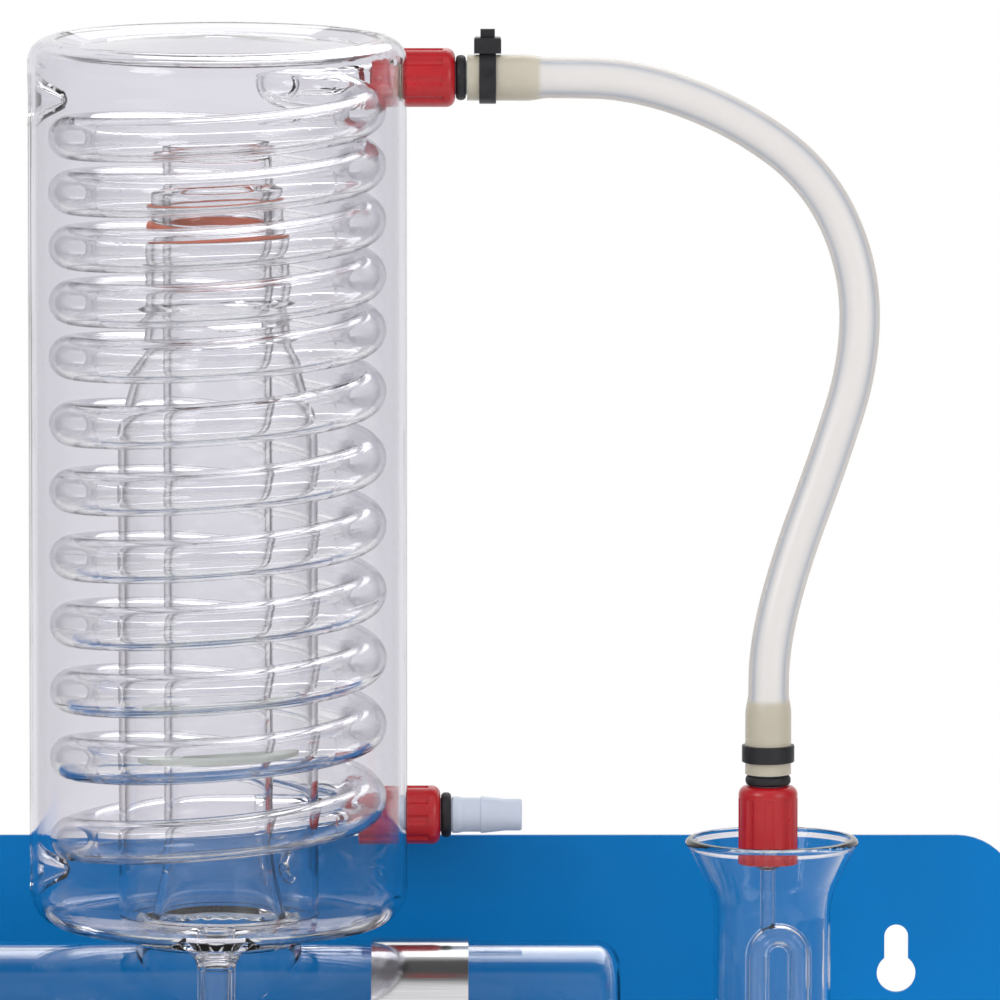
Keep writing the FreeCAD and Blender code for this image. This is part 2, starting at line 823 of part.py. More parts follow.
def swan_path(start_z, end_z):
    """Up the left leg, over the arch and down the right leg, then in to the middle."""
    left = swan_centre_x - swan_bend
    right = swan_centre_x + swan_bend
    corner = swan_bend - 0.05
    points = [
        (Vector(left, level_y, start_z), 0),
        (Vector(left, level_y, swan_top), corner),
        (Vector(right, level_y, swan_top), corner),
        (Vector(right, level_y, -62.0), 9.0),
        (Vector(level_x, level_y, -78.0), 9.0),
        (Vector(level_x, level_y, end_z), 0),
    ]
    return Part.Wire(rounded(points, closed=False))


def level_inner_tube():
    """Threaded head, narrow feed stem and swan neck, one piece of glass inside the level tube."""
    low_end = -128.0
    step_z = -97.0
    outer = swept(swan_path(-56.0, step_z), swan_radius)
    bore = swept(swan_path(-57.0, low_end - 1.0), swan_bore)
    spigot = turned([(0, low_end), (3.6, low_end, 0.6), (3.6, step_z), (0, step_z)], Vector(level_x, level_y, 0))
    base = Vector(feed_x, level_y, feed_cap_z)
    up = Vector(0, 0, 1)
    head = threaded(base, up, -1.0, thread_core_radius, thread_crest_radius)
    shoulder = turned([(0, -2.0), (2.5, -2.0), (thread_core_radius, 1.0, 1.0), (0, 1.0)], base, up)
    stem_low = swan_top + 1.5
    stem = rod(2.5, Vector(feed_x, level_y, stem_low), up, feed_cap_z - 1.0 - stem_low)
    stem_bore = rod(1.6, Vector(feed_x, level_y, swan_top), up, feed_cap_z - swan_top + 4)
    head_bore = rod(4.5, Vector(feed_x, level_y, feed_cap_z + 2.0), up, 30)
    return outer.fuse([spigot, stem, shoulder, head]).cut([bore, stem_bore, head_bore]).removeSplitter()


def link_sleeve():
    """Short silicone sleeve that joins the boiler's nozzle to the level tube's arm."""
    start = boiler_right + 5.0
    outline = [(6.05, 0), (8.0, 0, 0.5), (8.0, 20.5, 0.5), (6.05, 20.5)]
    return turned(outline, Vector(start, boiler_y, link_z), Vector(1, 0, 0))


def level_clip():
    """Spring clip that holds the level tube to the plate, open at the front."""
    height = 14.0
    inner = level_radius + 0.1
    outer = inner + 1.2
    base = Vector(level_x, level_y, clip_z - height / 2.0)
    ring = rod(outer, base, Vector(0, 0, 1), height).cut(rod(inner, base, Vector(0, 0, 1), height))
    mouth_half = 12.0
    mouth = block(
        (level_x - mouth_half, level_y - 40, clip_z - height), (level_x + mouth_half, level_y, clip_z + height)
    )
    ring = ring.cut(mouth)
    stem_depth = -plate_thickness
    stem = block(
        (level_x - 9, level_y + outer - 0.9, clip_z - height / 2.0), (level_x + 9, stem_depth, clip_z + height / 2.0)
    )
    hollow = block(
        (level_x - 7.8, level_y + outer, clip_z - height), (level_x + 7.8, stem_depth - 1.2, clip_z + height)
    )
    stem = stem.cut(hollow).cut(rod(inner, base, Vector(0, 0, 1), height))
    hole = rod(2.6, Vector(level_x, 5, clip_z), Vector(0, -1, 0), 12)
    return ring.fuse(stem).cut(hole).removeSplitter()


# Transfer hose: from the condenser's outlet over to the level tube's feed connector


def hose_route():
    """Corner points of the hose's path, chosen by hand along its arch."""
    start = Vector(outlet_cap_x + hose_start + 0.1, top_port_y, top_port_z)
    end = Vector(feed_x, level_y, feed_cap_z + hose_start + 0.1)
    return [
        start,
        Vector(109.5, -28.0, 289.5),
        Vector(138.0, -29.0, 289.0),
        Vector(170.5, -31.5, 277.5),
        Vector(198.0, -35.5, 258.0),
        Vector(212.0, -40.5, 229.0),
        Vector(212.5, -45.0, 197.0),
        Vector(201.5, -49.5, 163.0),
        Vector(189.5, -54.0, 131.5),
        Vector(182.3, -59.5, 104.0),
        Vector(feed_x, level_y, 82.0),
        end,
    ]


def hose_path():
    """Straight runs joined by arcs as large as their runs allow."""
    route = hose_route()
    points = [(route[0], 0)]
    radii = []
    for before, here, after in zip(route, route[1:], route[2:]):
        back = before - here
        ahead = after - here
        half_turn = (math.pi - back.getAngle(ahead)) / 2.0
        radius = 0.45 * min(back.Length, ahead.Length) / math.tan(half_turn)
        radii.append(round(radius))
        points.append((here, radius))
    points.append((route[-1], 0))
    print("hose bend radii", radii)
    return Part.Wire(rounded(points, closed=False))


def hose_end(base, direction, radius, sleeve_radius):
    """The end of the hose where it is stretched over a barb, tapering into the free hose."""
    outline = [(0, 0), (sleeve_radius, 0), (sleeve_radius, 20.0, 6.0), (radius - 0.5, 26.0), (0, 26.0)]
    return turned(outline, base, direction)


def transfer_hose():
    path = hose_path()
    route = hose_route()
    ends = [(route[0], Vector(1, 0, 0)), (route[-1], Vector(0, 0, 1))]
    outer = swept(path, hose_radius)
    bore = swept(path, hose_bore_radius)
    for base, direction in ends:
        outer = outer.fuse(hose_end(base, direction, hose_radius, 7.65))
        bore = bore.fuse(hose_end(base, direction, hose_bore_radius, 6.25))
    hose = outer.cut(bore)
    print("hose length", round(path.Length, 1), "volume", round(hose.Volume))
    section = math.pi * (hose_radius**2 - hose_bore_radius**2)
    print("section times length", round(section * path.Length))
    return hose


def cable_tie(base, direction, side):
    """Plastic tie round the hose end: band, head and cropped tail."""
    width = 5.6
    inner = 7.68
    outer = 8.7
    start = base + direction * 4.0
    band = turned([(inner, 0), (outer, 0, 0.3), (outer, width, 0.3), (inner, width)], start, direction)
    across = direction.cross(side)

    def bar(length, depth, low, high):
        centre = start + direction * (width / 2.0)
        corners = []
        for along, over in ((-1, -1), (1, -1), (1, 1), (-1, 1)):
            corners.append(centre + direction * (along * length / 2.0) + across * (over * depth / 2.0) + side * low)
        face = Part.Face(Part.makePolygon(corners + corners[:1]))
        return face.extrude(side * (high - low))

    head = bar(9.0, 7.0, 8.3, 13.4).cut(rod(7.9, base, direction, 20))
    head = head.makeChamfer(0.6, [edge for edge in head.Edges if straight_at_top(edge, base, side, 13.4)])
    tail = bar(4.8, 1.4, 13.0, 16.2)
    return band.fuse([head, tail]).removeSplitter()


def straight_at_top(edge, base, side, height):
    return all(abs((vertex.Point - base).dot(side) - height) < 1e-4 for vertex in edge.Vertexes)


def build():
    keep("wall_plate", wall_plate())
    keep("fixing_screws", fixing_screws())
    keep("boiler", boiler())
    keep("drain_key", drain_key())
    for name, x in zip(("left_strap", "right_strap"), strap_centres):
        keep(name, boiler_strap(x))
    keep("heater_sheath", heater_sheath())
    keep("heater_rod", heater_rod())
    keep("heater_ring", heater_ring())
    keep("terminal_cover", terminal_cover())
    keep("cable_gland", cable_gland())
    keep("seat_ring", seat_ring())
    keep("condensate_well", condensate_well())
    keep("riser_collar", riser_collar())
    keep("seal_ring", seal_ring())
    keep("centring_ring", centring_ring())
    keep("condenser_jacket", condenser_jacket())
    keep("cooling_coil", cooling_coil())
    for name, base, direction in connector_places():
        keep(name + "_cap", screw_cap(base, direction))
        keep(name + "_connector", barb(base, direction))
        keep(name + "_ring", black_ring(base, direction))
    keep("level_tube", level_tube())
    keep("level_inner_tube", level_inner_tube())
    keep("level_clip", level_clip())
    keep("link_sleeve", link_sleeve())
    keep("transfer_hose", transfer_hose())
    route = hose_route()
    keep("outlet_tie", cable_tie(route[0], Vector(1, 0, 0), Vector(0, 0, 1)))
    keep("feed_tie", cable_tie(route[-1], Vector(0, 0, 1), Vector(0, 1, 0)))


build()
os.makedirs("parts", exist_ok=True)
for name, shape in nodes.items():
    shape.exportStep("parts/" + name + ".step")
    solids = len(shape.Solids)
    if not shape.isValid():
        print("not valid:", name)
    if solids != 1 or shape.ShapeType not in ("Solid",):
        print(name, shape.ShapeType, "solids", solids)
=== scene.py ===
import math

import bpy
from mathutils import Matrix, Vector

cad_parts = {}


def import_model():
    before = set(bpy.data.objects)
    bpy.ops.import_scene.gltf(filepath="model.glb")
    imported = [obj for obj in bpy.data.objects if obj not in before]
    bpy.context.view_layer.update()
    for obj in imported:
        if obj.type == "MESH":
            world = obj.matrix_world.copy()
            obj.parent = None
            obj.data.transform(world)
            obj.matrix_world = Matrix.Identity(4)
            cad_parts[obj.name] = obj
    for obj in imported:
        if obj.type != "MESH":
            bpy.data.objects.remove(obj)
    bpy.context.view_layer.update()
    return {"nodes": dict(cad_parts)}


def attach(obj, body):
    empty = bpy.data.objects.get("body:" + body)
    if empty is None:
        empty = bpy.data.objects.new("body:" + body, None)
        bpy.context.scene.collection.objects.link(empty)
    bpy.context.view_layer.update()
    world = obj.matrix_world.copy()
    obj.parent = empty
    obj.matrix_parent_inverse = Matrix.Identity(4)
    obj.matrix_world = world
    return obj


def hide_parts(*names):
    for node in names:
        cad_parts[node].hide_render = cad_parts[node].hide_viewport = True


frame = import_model()
nodes_by_name = frame["nodes"]
scene = bpy.context.scene

# Camera at the photograph's angle: in front of the object and far off, looking slightly down

picture_width = 0.33
sensor_width = 36.0
camera_distance = 5.4
camera_reach = 50.0
camera_tilt = math.radians(7.1)
camera_aim = Vector((0.0931, -0.072, 0.1538))


def make_camera():
    data = bpy.data.cameras.new("camera")
    data.sensor_width = sensor_width
    data.lens = sensor_width * camera_distance / picture_width
    data.clip_end = camera_reach
    camera = bpy.data.objects.new("camera", data)
    back = Vector((0, -math.cos(camera_tilt), math.sin(camera_tilt)))
    camera.location = camera_aim + back * camera_distance
    camera.rotation_euler = (math.pi / 2 - camera_tilt, 0, 0)
    scene.collection.objects.link(camera)
    scene.camera = camera


make_camera()

# Helpers for node trees


class NodeTree:
    """Short ways to add nodes to a material or to the world."""

    def __init__(self, tree):
        tree.nodes.clear()
        self.nodes = tree.nodes
        self.links = tree.links

    def add(self, kind, **settings):
        node = self.nodes.new(kind)
        for key, value in settings.items():
            setattr(node, key, value)
        return node

    def link(self, source, target):
        self.links.new(source, target)

    def feed(self, value, socket):
        """Set a socket to a number, or link another node's output to it."""
        if isinstance(value, (int, float)):
            socket.default_value = value
        else:
            self.link(value, socket)

    def maths(self, kind, first, second=None):
        node = self.add("ShaderNodeMath", operation=kind)
        self.feed(first, node.inputs[0])
        if second is not None:
            self.feed(second, node.inputs[1])
        return node.outputs[0]

    def ramp(self, value, low, high, at_low=0.0, at_high=1.0, shape="SMOOTHSTEP"):
        """Runs from at_low to at_high while the value goes from low to high."""
        node = self.add("ShaderNodeMapRange", interpolation_type=shape)
        self.link(value, node.inputs["Value"])
        self.feed(low, node.inputs["From Min"])
        self.feed(high, node.inputs["From Max"])
        self.feed(at_low, node.inputs["To Min"])
        self.feed(at_high, node.inputs["To Max"])
        return node.outputs["Result"]

    def two_numbers(self, share, first, second):
        """A number that goes from first to second with the share."""
        mix = self.add("ShaderNodeMix", data_type="FLOAT")
        self.link(share, mix.inputs["Factor"])
        self.feed(first, mix.inputs["A"])
        self.feed(second, mix.inputs["B"])
        return mix.outputs["Result"]

    def two_colours(self, share, first, second):
        """A colour that goes from first to second with the share."""
        mix = self.add("ShaderNodeMix", data_type="RGBA")
        self.link(share, mix.inputs["Factor"])
        for socket, colour in (("A", first), ("B", second)):
            if isinstance(colour, tuple):
                mix.inputs[socket].default_value = (*colour, 1)
            else:
                self.link(colour, mix.inputs[socket])
        return mix.outputs["Result"]

    def separate(self, vector):
        node = self.add("ShaderNodeSeparateXYZ")
        self.link(vector, node.inputs["Vector"])
        return node.outputs


class Shader(NodeTree):
    """A new material, with the textures and mixes that the finishes share."""

    def __init__(self, name):
        self.material = bpy.data.materials.new(name)
        self.material.use_nodes = True
        super().__init__(self.material.node_tree)
        self.output = self.add("ShaderNodeOutputMaterial")
        self.place = self.add("ShaderNodeTexCoord").outputs["Object"]

    def noise(self, scale, detail=2.0, stretch=(1, 1, 1)):
        mapping = self.add("ShaderNodeMapping")
        mapping.inputs["Scale"].default_value = stretch
        self.link(self.place, mapping.inputs["Vector"])
        noise = self.add("ShaderNodeTexNoise")
        noise.inputs["Scale"].default_value = scale
        noise.inputs["Detail"].default_value = detail
        self.link(mapping.outputs["Vector"], noise.inputs["Vector"])
        return noise.outputs["Fac"]

    def spread(self, noise, low=0.0, high=1.0):
        """The noise's middle range stretched to run from low to high."""
        return self.ramp(noise, 0.3, 0.7, low, high, shape="LINEAR")

    def bump(self, height, distance):
        bump = self.add("ShaderNodeBump")
        bump.inputs["Distance"].default_value = distance
        self.link(height, bump.inputs["Height"])
        return bump.outputs["Normal"]

    def facing(self):
        """0 where the surface is seen square on, 1 where it is seen edge on."""
        weight = self.add("ShaderNodeLayerWeight")
        weight.inputs["Blend"].default_value = 0.5
        return weight.outputs["Facing"]

    def bands(self, value, stops):
        """A colour that runs through the stops while the value goes from 0 to 1."""
        node = self.add("ShaderNodeValToRGB")
        elements = node.color_ramp.elements
        elements[0].color = (*stops[0][1], 1)
        elements[1].color = (*stops[-1][1], 1)
        for position, colour in stops[1:-1]:
            stop = elements.new(position)
            stop.color = (*colour, 1)
        self.link(value, node.inputs["Fac"])
        return node.outputs["Color"]

    def principled(self, **values):
        shader = self.add("ShaderNodeBsdfPrincipled")
        for key, value in values.items():
            shader.inputs[key.replace("_", " ")].default_value = value
        return shader

    def two_shaders(self, share, first, second):
        mix = self.add("ShaderNodeMixShader")
        self.feed(share, mix.inputs["Fac"])
        self.link(first, mix.inputs[1])
        self.link(second, mix.inputs[2])
        return mix.outputs["Shader"]

    def part_clear(self, cloud, body, clear, tone, normal):
        """A scattering and a clear shader mixed, both with the same colour and skin."""
        for shader in (cloud, body):
            self.link(tone, shader.inputs["Base Color"])
            self.link(normal, shader.inputs["Normal"])
        return self.two_shaders(clear, cloud.outputs["BSDF"], body.outputs["BSDF"])

    def let_lamps_through(self, shader, level):
        """Finish with a shader that lamp light passes, dimmed to the given level."""
        through = self.add("ShaderNodeBsdfTransparent")
        through.inputs["Color"].default_value = (level, level, level, 1)
        rays = self.add("ShaderNodeLightPath")
        return self.finish(self.two_shaders(rays.outputs["Is Shadow Ray"], shader, through.outputs["BSDF"]))

    def finish(self, shader):
        self.link(shader, self.output.inputs["Surface"])
        return self.material


# Materials


def shade(colour, factor):
    return tuple(channel * factor for channel in colour)


def glass(name, tint, edge, sheen, ripple, ripple_scale, painted_shade_above=-1.0):
    """Clear hand-worked glass with a faint tint and slow waves in its surface.

    Above the given height it takes the edge colour where it is seen edge on: painted shade, darker outlines
    standing in for the dark lines that refraction draws along glass edges.
    """
    s = Shader(name)
    shader = s.principled(Transmission_Weight=1.0, IOR=1.47, Roughness=0.0)
    shader.inputs["Specular Tint"].default_value = (sheen, sheen, sheen, 1)
    tone = s.two_colours(s.spread(s.noise(scale=14.0)), tint, shade(tint, 0.985))
    # Painted edge shade: the base colour turns to the edge colour where the glass is seen edge on, above the
    # given height.
    painted_rim_shade = s.ramp(s.facing(), 0.6, 0.85)
    height = s.separate(s.place)["Z"]
    share = s.maths("MULTIPLY", painted_rim_shade, s.maths("GREATER_THAN", height, painted_shade_above))
    s.link(s.two_colours(share, tone, edge), shader.inputs["Base Color"])
    s.link(s.bump(s.noise(scale=ripple_scale), ripple), shader.inputs["Normal"])
    return s.let_lamps_through(shader.outputs["BSDF"], level=0.95)


def plastic(name, colour, roughness, grain=900.0, depth=0.00004, coat=0.0):
    """Moulded plastic or rubber: slight mottling, uneven gloss and a fine skin texture."""
    s = Shader(name)
    shader = s.principled(Coat_Weight=coat, Coat_Roughness=0.12)
    mottle = s.spread(s.noise(scale=90.0, detail=3.0))
    gloss = s.spread(s.noise(scale=240.0), roughness * 0.85, roughness * 1.2)
    s.link(s.two_colours(mottle, colour, shade(colour, 0.86)), shader.inputs["Base Color"])
    s.link(gloss, shader.inputs["Roughness"])
    s.link(s.bump(s.noise(scale=grain, detail=3.0), depth), shader.inputs["Normal"])
    return s.finish(shader.outputs["BSDF"])


def paint(name, colour):
    """Stoved paint on sheet: faint orange peel and a soft change of tone."""
    s = Shader(name)
    shader = s.principled(Specular_IOR_Level=0.12)
    tone = s.spread(s.noise(scale=9.0, detail=4.0))
    gloss = s.spread(s.noise(scale=60.0, detail=3.0), 0.36, 0.46)
    s.link(s.two_colours(tone, colour, shade(colour, 0.93)), shader.inputs["Base Color"])
    s.link(gloss, shader.inputs["Roughness"])
    s.link(s.bump(s.noise(scale=700.0), distance=0.00003), shader.inputs["Normal"])
    return s.finish(shader.outputs["BSDF"])


def steel(name, roughness, stretch):
    """Stainless steel with a fine grain, drawn out where the stretch is small."""
    s = Shader(name)
    shader = s.principled(Metallic=1.0)
    grain = s.noise(scale=260.0, detail=4.0, stretch=stretch)
    tone = s.two_colours(s.spread(grain), (0.68, 0.68, 0.69), (0.56, 0.56, 0.58))
    s.link(tone, shader.inputs["Base Color"])
    s.link(s.spread(grain, roughness * 0.7, roughness * 1.4), shader.inputs["Roughness"])
    s.link(s.bump(grain, distance=0.00001), shader.inputs["Normal"])
    return s.finish(shader.outputs["BSDF"])


def milky(name, colour, clear, roughness, ior=1.42):
    """Translucent plastic or silicone: part clear body, part scattering."""
    s = Shader(name)
    cloud = s.principled(Roughness=0.45)
    body = s.principled(Transmission_Weight=1.0, IOR=ior)
    gloss = s.spread(s.noise(scale=160.0), roughness * 0.8, roughness * 1.2)
    s.link(gloss, body.inputs["Roughness"])
    tone = s.two_colours(s.spread(s.noise(scale=70.0, detail=3.0)), colour, shade(colour, 0.95))
    normal = s.bump(s.noise(scale=420.0), distance=0.00004)
    return s.let_lamps_through(s.part_clear(cloud, body, clear, tone, normal), level=0.6)


def wound_ceramic(name, axis_y, axis_z, groove_radius):
    """Cream ceramic former with bare wire showing in its grooves."""
    s = Shader(name)
    place = s.separate(s.place)
    across = s.maths("POWER", s.maths("SUBTRACT", place["Y"], axis_y), 2.0)
    upward = s.maths("POWER", s.maths("SUBTRACT", place["Z"], axis_z), 2.0)
    in_groove = s.maths("LESS_THAN", s.maths("ADD", across, upward), groove_radius * groove_radius)
    ceramic = s.two_colours(s.spread(s.noise(scale=130.0, detail=3.0)), (0.75, 0.7, 0.6), (0.66, 0.61, 0.52))
    wire = (0.16, 0.15, 0.15)
    shader = s.principled()
    s.link(s.two_colours(in_groove, ceramic, wire), shader.inputs["Base Color"])
    s.link(s.spread(s.noise(scale=300.0), 0.5, 0.7), shader.inputs["Roughness"])
    return s.finish(shader.outputs["BSDF"])


def hose_silicone():
    """Milky silicone, warm where it is stretched over the barbs; where it is free, a painted bluish
    reflection lines its bore and painted shade darkens it towards the outline.
    """
    s = Shader("hose_silicone")
    place = s.separate(s.place)
    fade = 0.0025
    upper_end = 0.105
    lower_end = 0.0845
    on_upper_barb = s.ramp(place["X"], upper_end, upper_end + fade, 1.0, 0.0)
    on_lower_barb = s.ramp(place["Z"], lower_end, lower_end + fade, 1.0, 0.0)
    held = s.maths("MAXIMUM", on_upper_barb, on_lower_barb)
    # The free hose's colour runs with the viewing angle: the bluish band is a painted reflection along the
    # bore, and the wall and outline colours are painted shade towards the edges.
    pearl = (0.87, 0.84, 0.825)
    inner_pearl = (0.84, 0.82, 0.815)
    painted_bore_reflection = (0.56, 0.6, 0.67)
    wall = (0.74, 0.71, 0.69)
    painted_outline_shade = (0.7, 0.64, 0.57)
    stops = ((0.0, pearl), (0.16, inner_pearl), (0.34, painted_bore_reflection), (0.46, wall), (1.0, painted_outline_shade))
    free_tone_painted = s.bands(s.facing(), stops)
    mottle = s.spread(s.noise(scale=70.0, detail=3.0))
    held_tone = s.two_colours(mottle, (0.7, 0.65, 0.54), (0.64, 0.59, 0.48))
    tone = s.two_colours(held, free_tone_painted, held_tone)
    cloud = s.principled()
    body = s.principled(Transmission_Weight=1.0, IOR=1.41)
    body.inputs["Specular Tint"].default_value = (0.5, 0.5, 0.5, 1)
    gloss = s.noise(scale=160.0)
    s.link(s.spread(gloss, 0.3, 0.42), cloud.inputs["Roughness"])
    s.link(s.spread(gloss, 0.1, 0.16), body.inputs["Roughness"])
    normal = s.bump(s.noise(scale=120.0), distance=0.00002)
    return s.let_lamps_through(s.part_clear(cloud, body, 0.42, tone, normal), level=0.75)


# Which material each CAD node wears

red = (0.44, 0.002, 0.008)
black = (0.006, 0.006, 0.009)
blue = (0.0, 0.178, 0.52)
cover_grey = (0.42, 0.44, 0.46)
orange = (0.56, 0.12, 0.05)
thin_glass = (0.992, 0.994, 0.997)
# Near-black painted shade for glass outlines seen edge on.
painted_dark_edge = (0.03, 0.026, 0.026)
condenser_foot = 0.03
heater_axis_y = -0.063
heater_axis_z = -0.058
wire_radius = 0.0055

# Each glass's edge colour below is painted shade, put where that glass is seen edge on.
dressings = {
    "condenser_jacket": glass(
        "jacket_glass", tint=(0.984, 0.982, 0.99), edge=(0.7, 0.69, 0.73),
        sheen=0.42, ripple=0.00012, ripple_scale=24.0,
    ),
    "cooling_coil": glass(
        "coil_glass", tint=(0.99, 0.99, 0.994), edge=(0.4, 0.4, 0.44),
        sheen=0.45, ripple=0.00006, ripple_scale=55.0,
    ),
    "condensate_well": glass(
        "well_glass", tint=(0.992, 0.992, 0.995), edge=painted_dark_edge,
        sheen=0.4, ripple=0.00005, ripple_scale=30.0, painted_shade_above=condenser_foot,
    ),
    "riser_collar": glass(
        "collar_glass", tint=(0.985, 0.985, 0.99), edge=(0.06, 0.05, 0.05),
        sheen=0.4, ripple=0.00005, ripple_scale=60.0,
    ),
    "boiler": glass(
        "boiler_glass", tint=thin_glass, edge=painted_dark_edge,
        sheen=0.18, ripple=0.00006, ripple_scale=24.0, painted_shade_above=condenser_foot,
    ),
    "level_tube": glass(
        "level_glass", tint=thin_glass, edge=(0.86, 0.88, 0.92),
        sheen=0.4, ripple=0.00008, ripple_scale=40.0,
    ),
    "level_inner_tube": glass(
        "inner_tube_glass", tint=(0.985, 0.99, 0.995), edge=(0.7, 0.74, 0.8),
        sheen=0.6, ripple=0.00006, ripple_scale=60.0,
    ),
    "heater_sheath": glass(
        "sheath_glass", tint=(0.97, 0.97, 0.96), edge=(0.7, 0.7, 0.7),
        sheen=0.5, ripple=0.00008, ripple_scale=45.0,
    ),
    "wall_plate": paint("blue_paint", blue),
    "fixing_screws": steel("screw_steel", roughness=0.3, stretch=(1, 1, 1)),
    "left_strap": steel("left_strap_steel", roughness=0.12, stretch=(0.1, 8, 8)),
    "right_strap": steel("right_strap_steel", roughness=0.12, stretch=(0.1, 8, 8)),
    "level_clip": steel("clip_steel", roughness=0.25, stretch=(1, 1, 9)),
    "seal_ring": plastic("orange_silicone", orange, roughness=0.4, grain=500.0, depth=0.00002),
    "centring_ring": milky("frosted_ring", (0.66, 0.7, 0.66), clear=0.2, roughness=0.4),
    "heater_rod": wound_ceramic("wound_ceramic", heater_axis_y, heater_axis_z, wire_radius),
    "heater_ring": plastic("ring_red", red, roughness=0.32, grain=700.0, coat=0.2),
    "terminal_cover": plastic("cover_grey", cover_grey, roughness=0.5, grain=1200.0, depth=0.00008),
    "cable_gland": plastic("gland_black", black, roughness=0.45),
    "drain_key": plastic("key_white", (0.82, 0.82, 0.8), roughness=0.4, grain=600.0),
    "seat_ring": milky("seat_silicone", (0.88, 0.88, 0.87), clear=0.8, roughness=0.3),
    "link_sleeve": milky("sleeve_silicone", (0.86, 0.86, 0.84), clear=0.5, roughness=0.3),
    "outlet_tie": plastic("outlet_tie_black", black, roughness=0.42, grain=1100.0, depth=0.00006),
    "feed_tie": plastic("feed_tie_black", black, roughness=0.42, grain=1100.0, depth=0.00006),
}
for port in ("outlet", "inlet", "feed"):
    cap = plastic(port + "_cap_red", red, roughness=0.32, depth=0.000012, coat=0.15)
    connector = milky(port + "_connector_clear", (0.66, 0.72, 0.84), clear=0.28, roughness=0.4, ior=1.49)
    dressings[port + "_cap"] = cap
    dressings[port + "_connector"] = connector
    dressings[port + "_ring"] = plastic(port + "_ring_black", black, roughness=0.55, grain=800.0)

real_edge = math.radians(32)


def dress(node, material):
    """Give a CAD node its material, shaded smooth except across real edges."""
    mesh = nodes_by_name[node].data
    mesh.materials.clear()
    mesh.materials.append(material)
    mesh.shade_smooth()
    mesh.set_sharp_from_angle(angle=real_edge)


for node, material in dressings.items():
    dress(node, material)

# Feed hose: a translucent tube along the route, stretched over the barb at each end

hose_route = [
    (0.0822, -0.0280, 0.2895),
    (0.1095, -0.0280, 0.2895),
    (0.1380, -0.0290, 0.2890),
    (0.1705, -0.0315, 0.2775),
    (0.1980, -0.0355, 0.2580),
    (0.2120, -0.0405, 0.2290),
    (0.2125, -0.0450, 0.1970),
    (0.2015, -0.0495, 0.1630),
    (0.1895, -0.0540, 0.1315),
    (0.1823, -0.0595, 0.1040),
    (0.1819, -0.0630, 0.0820),
    (0.1819, -0.0630, 0.0614),
]
hose_radius = 0.00675
hose_bore = 0.0048
sleeve_radius = 0.00765
sleeve_bore = 0.00628
sleeve_length = 0.020
taper_length = 0.007
hose_sides = 40
hose_end_edge = math.radians(40)


def smooth_line(name, route):
    """Points along the route's smooth spline."""
    curve = bpy.data.curves.new(name, "CURVE")
    curve.dimensions = "3D"
    curve.resolution_u = 24
    spline = curve.splines.new("NURBS")
    spline.points.add(len(route) - 1)
    for point, place in zip(spline.points, route):
        point.co = (*place, 1)
    spline.order_u = 3
    spline.use_endpoint_u = True
    holder = bpy.data.objects.new(name, curve)
    mesh = bpy.data.meshes.new_from_object(holder)
    points = [vertex.co.copy() for vertex in mesh.vertices]
    bpy.data.objects.remove(holder)
    bpy.data.curves.remove(curve)
    bpy.data.meshes.remove(mesh)
    return points


def stretched(distance, length, free, held):
    """Radius at a distance along the hose: held over the barbs, free between them."""
    near = min(distance, length - distance)
    share = min(1.0, max(0.0, (near - sleeve_length) / taper_length))
    share = share * share * (3 - 2 * share)
    return held + (free - held) * share


def hose_vertices(line):
    """For each point of the line, a ring on the outer wall and then one on the bore."""
    length = sum((b - a).length for a, b in zip(line, line[1:]))
    walls = ((hose_radius, sleeve_radius), (hose_bore, sleeve_bore))
    side = Vector((0, 0, 1))
    vertices = []
    walked = 0.0
    for i, here in enumerate(line):
        if i:
            walked += (here - line[i - 1]).length
        ahead = line[min(i + 1, len(line) - 1)] - line[max(i - 1, 0)]
        ahead.normalize()
        side = (side - ahead * side.dot(ahead)).normalized()
        across = ahead.cross(side)
        for free, held in walls:
            radius = stretched(walked, length, free, held)
            for step in range(hose_sides):
                angle = 2 * math.pi * step / hose_sides
                vertices.append(here + (side * math.cos(angle) + across * math.sin(angle)) * radius)
    return vertices


def hose_faces(point_count):
    """Faces along both walls, and a ring of faces that joins them at each end."""
    sides = hose_sides
    pair = 2 * sides
    last = (point_count - 1) * pair
    faces = []
    for low in range(0, last, pair):
        high = low + pair
        for step in range(sides):
            after = (step + 1) % sides
            faces.append((low + step, low + after, high + after, high + step))
            faces.append((low + sides + after, low + sides + step, high + sides + step, high + sides + after))
    for step in range(sides):
        after = (step + 1) % sides
        faces.append((after, step, sides + step, sides + after))
        faces.append((last + step, last + after, last + sides + after, last + sides + step))
    return faces


def feed_hose():
    line = smooth_line("hose_line", hose_route)
    mesh = bpy.data.meshes.new("feed_hose")
    mesh.from_pydata(hose_vertices(line), [], hose_faces(len(line)))
    mesh.update()
    mesh.shade_smooth()
    mesh.set_sharp_from_angle(angle=hose_end_edge)
    mesh.materials.append(hose_silicone())
    hose = bpy.data.objects.new("feed_hose", mesh)
    scene.collection.objects.link(hose)
    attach(hose, "still")
    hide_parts("transfer_hose")


feed_hose()

# Floor, light and background

floor_height = -0.2
floor_front = -1.2
floor_back = 1.0
floor_side = 1.2
lamp_target = Vector((0.05, -0.06, 0.12))
light_bounces = 32
glossy_bounces = 8


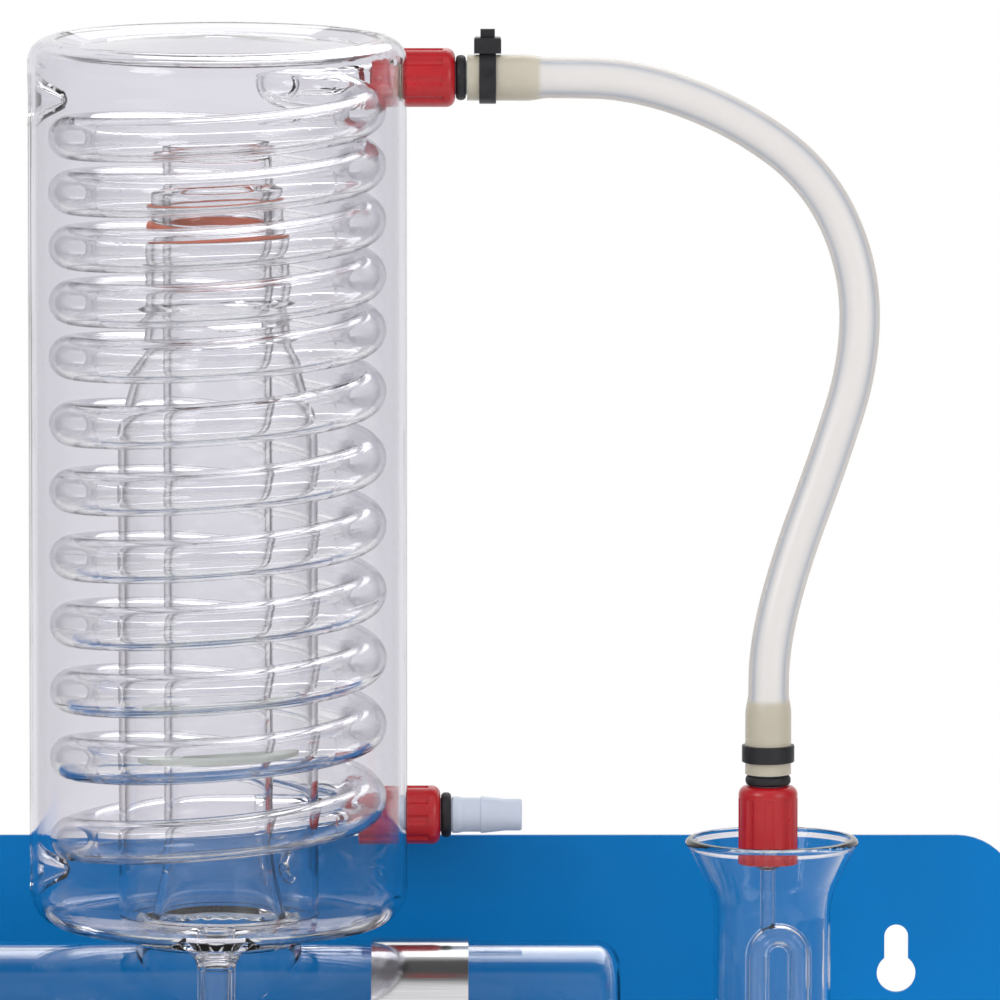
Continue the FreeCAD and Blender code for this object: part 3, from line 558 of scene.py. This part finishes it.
def floor():
    corners = [
        (-floor_side, floor_front, floor_height),
        (floor_side, floor_front, floor_height),
        (floor_side, floor_back, floor_height),
        (-floor_side, floor_back, floor_height),
    ]
    mesh = bpy.data.meshes.new("floor")
    mesh.from_pydata(corners, [], [(0, 1, 2, 3)])
    plane = bpy.data.objects.new("floor", mesh)
    scene.collection.objects.link(plane)
    s = Shader("floor_pale")
    shader = s.principled(Roughness=0.8)
    tone = s.two_colours(s.spread(s.noise(scale=3.0)), (0.84, 0.84, 0.84), (0.81, 0.81, 0.81))
    s.link(tone, shader.inputs["Base Color"])
    mesh.materials.append(s.finish(shader.outputs["BSDF"]))


def lamp(name, place, size, power):
    data = bpy.data.lights.new(name, "AREA")
    data.shape = "DISK"
    data.size = size
    data.energy = power
    light = bpy.data.objects.new(name, data)
    light.location = place
    towards = lamp_target - Vector(place)
    light.rotation_euler = towards.to_track_quat("-Z", "Y").to_euler()
    scene.collection.objects.link(light)


def room_in_mirror(tree, across, depth, up):
    """What polished metal and glass reflect: light wall, dark band, bright ceiling, dim room.

    The turn is 0 at the wall's horizon, 90 degrees overhead and 180 at the room's horizon.
    """
    turn = tree.maths("ARCTAN2", up, depth)
    wall = tree.ramp(turn, math.radians(48), math.radians(60), 1.0, 0.1)
    ceiling = tree.ramp(turn, math.radians(80), math.radians(92), 0.0, 0.95)
    room = tree.ramp(turn, math.radians(105), math.radians(140), 0.0, -0.6)
    level = tree.maths("ADD", tree.maths("ADD", wall, ceiling), room)
    to_the_sides = tree.ramp(tree.maths("ABSOLUTE", across), 0.45, 0.9, 1.0, 0.35)
    return tree.maths("MULTIPLY", level, to_the_sides)


def world():
    """White to the camera. Seen through glass it is tinged, and a little dimmer to the sides."""
    surroundings = bpy.data.worlds.new("studio")
    surroundings.use_nodes = True
    tree = NodeTree(surroundings.node_tree)
    across, depth, up = tree.separate(tree.add("ShaderNodeTexCoord").outputs["Generated"])
    through_glass = tree.ramp(tree.maths("ABSOLUTE", depth), 0.15, 0.6, 0.86, 1.0)
    on_matt = 0.85
    to_camera = 1.0
    rays = tree.add("ShaderNodeLightPath").outputs
    level = tree.two_numbers(rays["Is Transmission Ray"], on_matt, through_glass)
    level = tree.two_numbers(rays["Is Glossy Ray"], level, room_in_mirror(tree, across, depth, up))
    level = tree.two_numbers(rays["Is Camera Ray"], level, to_camera)
    tinge = tree.two_colours(rays["Is Transmission Ray"], (1, 1, 1), (0.77, 0.755, 0.81))
    background = tree.add("ShaderNodeBackground")
    tree.link(tinge, background.inputs["Color"])
    tree.link(level, background.inputs["Strength"])
    output = tree.add("ShaderNodeOutputWorld")
    tree.link(background.outputs["Background"], output.inputs["Surface"])
    scene.world = surroundings


floor()
lamp("key", place=(-1.3, -1.5, 1.3), size=1.0, power=15.0)
lamp("fill", place=(1.4, -1.3, 0.7), size=1.2, power=7.0)
lamp("rear", place=(0.3, 1.4, 1.2), size=1.0, power=4.0)
world()
scene.view_settings.view_transform = "Standard"
scene.cycles.max_bounces = light_bounces
scene.cycles.transmission_bounces = light_bounces
scene.cycles.transparent_max_bounces = light_bounces
scene.cycles.glossy_bounces = glossy_bounces
